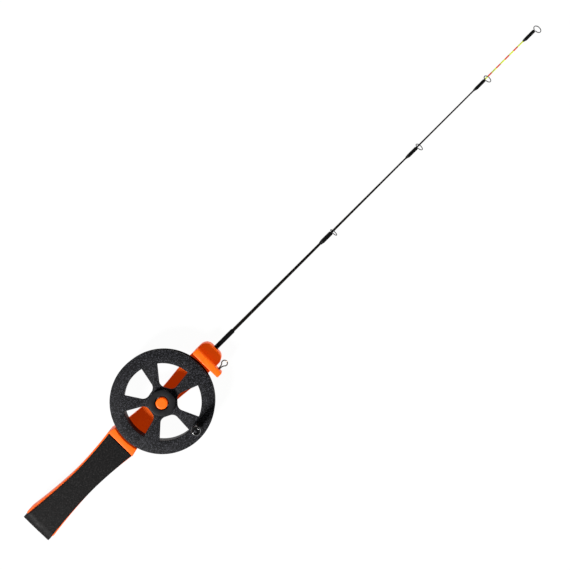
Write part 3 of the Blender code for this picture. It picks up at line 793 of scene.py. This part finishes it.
def spool_front_wheel(material):
    """The speckled wheel with its five windows, and a short hub behind it."""
    bore = STEM_RADIUS + GAP
    outlines = [circle(REEL_RADIUS + SWELL, ROUND), circle(bore, 72)]
    outlines += [window_outline(index) for index in range(WINDOWS)]
    outlines.append(circle(PIN_BORE, 24, KNOB.xy))
    wheel = plate("spool_front_wheel_look", outlines, WHEEL_BOTTOM, WHEEL_TOP, 0.35, material)
    hub = [(bore, 14.0, 0.2), (9.3, 14.0, 0.4), (9.3, 19.0, 0.0), (bore, 19.0, 0.0)]
    peg_holes = []
    for spot in spoke_spots((DRUM_INNER + DRUM_OUTER) / 2.0):
        hole = prism(circle(PEG_BORE, 24, spot), 17.0, WHEEL_TOP - 0.6)
        peg_holes.append(("DIFFERENCE", solid("peg_hole", hole, material)))
    changed(wheel, ("UNION", solid("hub", turned(hub, 72), material)), *peg_holes)
    settle(wheel, "spool", "speckled_plastic", "spool_front_wheel")


def spool_drum(material):
    """Drum wall and back flange with rounded rims, pegs, and a boss for the knob's pin."""
    top = WHEEL_BOTTOM - GAP
    profile = [
        (DRUM_INNER, FLANGE_BOTTOM, 0.4),
        (REEL_RADIUS, FLANGE_BOTTOM, 0.45),
        (REEL_RADIUS, FLANGE_TOP, 0.45),
        (DRUM_OUTER, FLANGE_TOP, 0.8),
        (DRUM_OUTER, top, 0.2),
        (DRUM_INNER, top, 0.2),
    ]
    drum = solid("spool_drum_look", turned(profile), material)
    boss = plate("boss", [circle(2.4, 40, KNOB.xy)], FLANGE_BOTTOM + 0.5, top, 0.25, material)
    added = [("UNION", boss)]
    for spot in spoke_spots((DRUM_INNER + DRUM_OUTER) / 2.0):
        peg = prism(circle(PEG_RADIUS, 20, spot), top - 1.0, WHEEL_TOP - 0.9)
        added.append(("UNION", solid("peg", peg, material)))
    bore = solid("bore", prism(circle(PIN_BORE, 24, KNOB.xy), 12.5, top + 1.0), material)
    settle(changed(drum, *added, ("DIFFERENCE", bore)), "spool", "smooth_plastic", "spool_drum")


def hub_bush(material):
    """The raised boss, with a shallow step round its bore, on the stem that carries the wheel."""
    bore = AXLE_RADIUS + 0.15
    seat = WHEEL_TOP + 0.7
    profile = [
        (bore, STEM_BOTTOM, 0.2),
        (STEM_RADIUS, STEM_BOTTOM, 0.3),
        (STEM_RADIUS, WHEEL_TOP + GAP, 0.1),
        (HUB_RADIUS, WHEEL_TOP + GAP, 0.2),
        (HUB_RADIUS, HUB_TOP, 0.4),
        (HEAD_BORE, HUB_TOP, 0.15),
        (HEAD_BORE, seat, 0.2),
        (bore, seat, 0.0),
    ]
    settle(solid("hub_bush_look", turned(profile, 120), material), "spool", "smooth_plastic", "hub_bush")


def knob_pin(material):
    low, high = cad("knob_pin")
    profile = [
        (0.0, low.z, 0.0),
        (1.0, low.z, 0.2),
        (1.0, high.z - 1.0, 0.1),
        (1.8, high.z - 1.0, 0.15),
        (1.65, high.z - 0.35, 0.3),
        (0.0, high.z, 0.0),
    ]
    pin = solid("knob_pin_look", turned(profile, 40, KNOB.xy), material)
    settle(pin, "spool", "steel", "knob_pin")


def crank_knob(material):
    """The small turned grip: a waisted stem, a rounded rim and a recess for the pin's head."""
    low, high, radius = KNOB_LOW.z, KNOB_HIGH.z, KNOB_RADIUS
    profile = [
        (1.2, low, 0.1),
        (radius - 0.5, low, 0.3),
        (radius - 0.2, low + 0.9, 0.8),
        (radius - 0.6, low + 6.5, 6.0),
        (radius, high - 3.2, 2.5),
        (radius, high, 1.1),
        (KNOB_RECESS, high, 0.28),
        (KNOB_RECESS, high - KNOB_RECESS_DEPTH, 0.2),
        (1.2, high - KNOB_RECESS_DEPTH, 0.0),
    ]
    knob = solid("crank_knob_look", turned(profile, 64, KNOB.xy, 8), material)
    settle(knob, "knob", "gloss_plastic", "crank_knob")


# The whip --------------------------------------------------------------------------------------


def blank_radius(x):
    for (x0, r0), (x1, r1) in zip(BLANK_RADII, BLANK_RADII[1:]):
        if x <= x1:
            return r0 + (r1 - r0) * (x - x0) / (x1 - x0)
    return TIP_PAINTED


def butt_sleeve(material):
    bore = BLANK_RADII[0][1] + 0.12
    start, end = SLEEVE_LOW.x, SLEEVE_HIGH.x
    outer = [
        (start, SLEEVE_RADIUS - 0.25),
        (start + 0.3, SLEEVE_RADIUS),
        (end - 1.2, SLEEVE_RADIUS),
        (end - 0.5, SLEEVE_RADIUS - 0.04),
        (end - 0.12, SLEEVE_RADIUS - 0.16),
        (end, SLEEVE_RADIUS - 0.3),
    ]
    rings = [section(x, radius, SMALL_ROUND, (0.0, WHIP_HEIGHT)) for x, radius in outer]
    rings += [section(x, bore, SMALL_ROUND, (0.0, WHIP_HEIGHT)) for x in (end, start)]
    sleeve = solid("butt_sleeve_look", loft(rings, closed=True), material)
    settle(sleeve, "sleeve", "wrap", "butt_sleeve")


def blank(material):
    stations = [(x, blank_radius(x)) for x in spaced(BLANK_START + 0.3, BLANK_END - 0.1, 40)]
    first, last = stations[0], stations[-1]
    stations.insert(0, (BLANK_START, first[1] - 0.25))
    stations.append((BLANK_END, last[1] - 0.1))
    piece = solid("blank_look", rod(stations, 32), material)
    settle(piece, "whip", "blank", "blank")


def tip_section(yellow, red):
    """The painted tip; its red bands are faces of their own."""
    places, bands = [TIP_LOW.x], []
    for index in range(BANDS):
        start = FIRST_BAND + index * BAND_PITCH
        places += [start, start + 0.05, start + BAND_LENGTH, start + BAND_LENGTH + 0.05]
        bands.append((start + 0.05, start + BAND_LENGTH))
    places.append(TIP_HIGH.x)
    layer = 0.02
    rings = [(x, TIP_PAINTED - (0.0 if any(a <= x <= b for a, b in bands) else layer)) for x in places]
    piece = solid("tip_section_look", rod(rings, 24), yellow)
    piece.data.materials.append(red)
    for face in piece.data.polygons:
        middle = face.center.x
        if any(a - 0.05 < middle < b + 0.05 for a, b in bands):
            face.material_index = 1
    settle(piece, "whip", "tip_paint", "tip_section")


def leg_height(wrap_start):
    return blank_radius(wrap_start) + WIRE_RADIUS + 0.04


def guide_foot(wrap_end):
    return wrap_end + WIRE_RADIUS + 0.05


def guide_axes():
    turn = math.radians(GUIDE_TURN)
    up = Vector((0.0, -math.sin(turn), math.cos(turn)))
    return up, Vector((0.0, math.cos(turn), math.sin(turn)))


def guide_route(wrap_start, wrap_end, ring_radius):
    """Leg, foot, ring and leg again."""
    lean = math.radians(GUIDE_LEAN)
    up, across = guide_axes()
    along = Vector((1.0, 0.0, 0.0))
    ring_up = up * math.cos(lean) + along * math.sin(lean)
    base = Vector((guide_foot(wrap_end), 0.0, WHIP_HEIGHT)) + up * leg_height(wrap_start)
    leg = [base - along * back + across * LEG_OFFSET for back in (9.5, 6.0, 3.0, 1.2, 0.5)]
    leg.append(base - along * 0.15 + across * (LEG_OFFSET + 0.02) + up * 0.08)
    centre = base + ring_up * (GUIDE_NECK + ring_radius)
    ring = [
        centre + across * sideways + ring_up * upward
        for sideways, upward in arc((0.0, 0.0), ring_radius, -66.0, 246.0, 24)
    ]
    other = [point - across * 2.0 * (point - base).dot(across) for point in reversed(leg)]
    return smooth_line(leg + ring + other, 4)


def hull_reach(direction, circles, centre):
    """How far the hull of (y, z, radius) circles reaches from the centre in a direction."""
    reach = math.inf
    for step in range(96):
        angle = math.tau * step / 96
        facing = math.cos(angle - direction)
        if facing > 0.02:
            normal = (math.cos(angle), math.sin(angle))
            wall = max(
                (y - centre[0]) * normal[0] + (z - centre[1]) * normal[1] + radius
                for y, z, radius in circles
            )
            reach = min(reach, wall / facing)
    return reach


def wrap_section(x, start, shrink, wall, centre, sides=40):
    """The skin stretched over the blank and, where the legs are, over them too."""
    up, across = guide_axes()
    height = leg_height(start)
    thick = blank_radius(x)
    legs = []
    for side in (-1.0, 1.0):
        middle = up * height + across * side * LEG_OFFSET
        legs.append((middle.y, WHIP_HEIGHT + middle.z, WIRE_RADIUS + WRAP_FIT + wall))
    body = (0.0, WHIP_HEIGHT, thick + WRAP_FIT + wall)
    ring = []
    for step in range(sides):
        direction = math.tau * step / sides
        bare = hull_reach(direction, [body], centre)
        full = hull_reach(direction, [body, *legs], centre)
        reach = bare + (full - bare) * shrink
        ring.append((x, centre[0] + reach * math.cos(direction), centre[1] + reach * math.sin(direction)))
    return ring


def guide_and_wrap(wrap_node, guide_node, ring_radius, steel, tube):
    start, end = cad(wrap_node)[0].x, cad(wrap_node)[1].x
    route = guide_route(start, end, ring_radius)
    settle(wire(guide_node + "_look", route, WIRE_RADIUS, steel), "whip", "steel", guide_node)
    half_width = (cad(wrap_node)[1].y - cad(wrap_node)[0].y) / 2.0
    wall = half_width + 0.15 - WRAP_FIT - max(blank_radius(start), LEG_OFFSET + WIRE_RADIUS)
    up = guide_axes()[0]
    middle = up * (leg_height(start) * 0.35)
    centre = (middle.y, WHIP_HEIGHT + middle.z)
    tail = 2.6
    outer = [
        (start + tail * share, smooth_step(share * 1.2), wall * (0.35 + 0.65 * share))
        for share in (0.0, 0.1, 0.25, 0.4, 0.55, 0.7, 0.85, 1.0)
    ]
    outer += [(x, 1.0, wall) for x in spaced(start + tail + 1.0, end - 0.5, 6)]
    outer += [(end - 0.15, 1.0, wall * 0.8), (end, 1.0, wall * 0.35)]
    rings = [wrap_section(x, start, shrink, skin, centre) for x, shrink, skin in outer]
    rings += [wrap_section(x, start, shrink, 0.0, centre) for x, shrink, _ in reversed(outer)]
    piece = solid(wrap_node + "_look", loft(rings, closed=True), tube)
    settle(piece, "whip", "wrap", wrap_node)


# The whole rod ---------------------------------------------------------------------------------


orange = orange_plastic()
black_smooth = smooth_plastic()
steel = drawn_wire("steel_wire", (0.03, 0.03, 0.032), (0.09, 0.09, 0.094), 0.30)
# A very dark steel, used only for the knob's pin.
dark_pin_metal = drawn_wire("dark_pin_steel", (0.010, 0.010, 0.011), (0.030, 0.030, 0.032), 0.45)
zinc = drawn_wire("zinc_steel", (0.35, 0.35, 0.36), (0.55, 0.55, 0.56), 0.32)
brass_grey = drawn_wire("eye_wire", (0.08, 0.055, 0.04), (0.20, 0.15, 0.11), 0.30)
fibre = washer_fibre()
tube = shrink_tube()

frame_moulding(orange)
grip_foam(foam())
axle_pin(orange)
washer("friction_washer", 0.0, "fibre_washer", fibre)
washer("spring_washer", 0.3, "steel", zinc)
washer("screw_washer", 0.0, "steel", zinc)
line_eye(brass_grey)
drag_screw(zinc)
spool_front_wheel(speckled_plastic())
spool_drum(black_smooth)
hub_bush(black_smooth)
knob_pin(dark_pin_metal)
crank_knob(gloss_plastic())
butt_sleeve(tube)
blank(blank_fibre())
tip_section(
    paint("tip_yellow", (0.46, 0.55, 0.003), (0.56, 0.64, 0.006)),
    paint("tip_red", (0.50, 0.035, 0.004), (0.62, 0.055, 0.008)),
)
for wrap_node, guide_node, ring_radius in GUIDES:
    guide_and_wrap(wrap_node, guide_node, ring_radius, steel, tube)


# Floor, light and camera -----------------------------------------------------------------------


def floor():
    """A wide pale table with a faint glow, as a light table has."""
    made = Finish("floor", (0.04, 0.04, 0.04), 0.9)
    made.colour(made.ramp(made.noise(300.0), ((0.3, (0.035, 0.035, 0.035)), (0.7, (0.045, 0.045, 0.045)))))
    made.set(Specular_IOR_Level=0.0, Emission_Color=(1.0, 1.0, 1.0, 1.0))
    made.set(Emission_Strength=FLOOR_GLOW)
    mesh = bmesh.new()
    bmesh.ops.create_grid(mesh, x_segments=8, y_segments=8, size=3.0)
    data = bpy.data.meshes.new("floor")
    mesh.to_mesh(data)
    mesh.free()
    ground = holder("floor", data, made.material)
    ground.location.z = -0.0002


def softbox(name, power, size, place, target):
    """A square area light that the camera doesn't see."""
    data = bpy.data.lights.new(name, "AREA")
    data.shape = "SQUARE"
    data.size = size
    data.energy = power
    light = holder(name, data)
    light.location = place
    light.rotation_mode = "QUATERNION"
    light.rotation_quaternion = (Vector(target) - Vector(place)).to_track_quat("-Z", "Y")
    light.visible_camera = False


def studio():
    world = bpy.data.worlds.new("studio")
    world.use_nodes = True
    tree = world.node_tree
    background = tree.nodes["Background"]
    height = tree.nodes.new("ShaderNodeSeparateXYZ")
    sky = tree.nodes.new("ShaderNodeValToRGB")
    for element, (place, brightness) in zip(sky.color_ramp.elements, SKY):
        element.position = place
        element.color = (brightness, brightness, brightness, 1.0)
    tree.links.new(tree.nodes.new("ShaderNodeTexCoord").outputs["Generated"], height.inputs["Vector"])
    tree.links.new(height.outputs["Z"], sky.inputs["Fac"])
    tree.links.new(sky.outputs["Color"], background.inputs["Color"])
    scene.world = world
    softbox("key", KEY_POWER, KEY_SIZE, REEL + Vector(KEY_PLACE), REEL)
    softbox("rim", RIM_POWER, RIM_SIZE, REEL + Vector(RIM_PLACE), REEL)


def camera():
    """Above the rod, past the reel, turned so that the rod runs from lower left to upper right."""
    data = bpy.data.cameras.new("camera")
    data.sensor_width = SENSOR
    data.lens = LENS
    made = holder("camera", data)
    tilt = Matrix.Rotation(CAMERA_TILT[0], 3, "X") @ Matrix.Rotation(CAMERA_TILT[1], 3, "Y")
    roll = Matrix.Rotation(CAMERA_TILT[2], 3, "Z") @ Matrix.Rotation(math.radians(45.0), 3, "Z")
    made.rotation_mode = "QUATERNION"
    made.rotation_quaternion = (tilt @ roll).transposed().to_quaternion()
    made.location = REEL + Vector(CAMERA_PLACE) * MM
    data.clip_start, data.clip_end = 0.01, 20.0
    scene.camera = made


floor()
studio()
camera()
scene.view_settings.view_transform = "Standard"
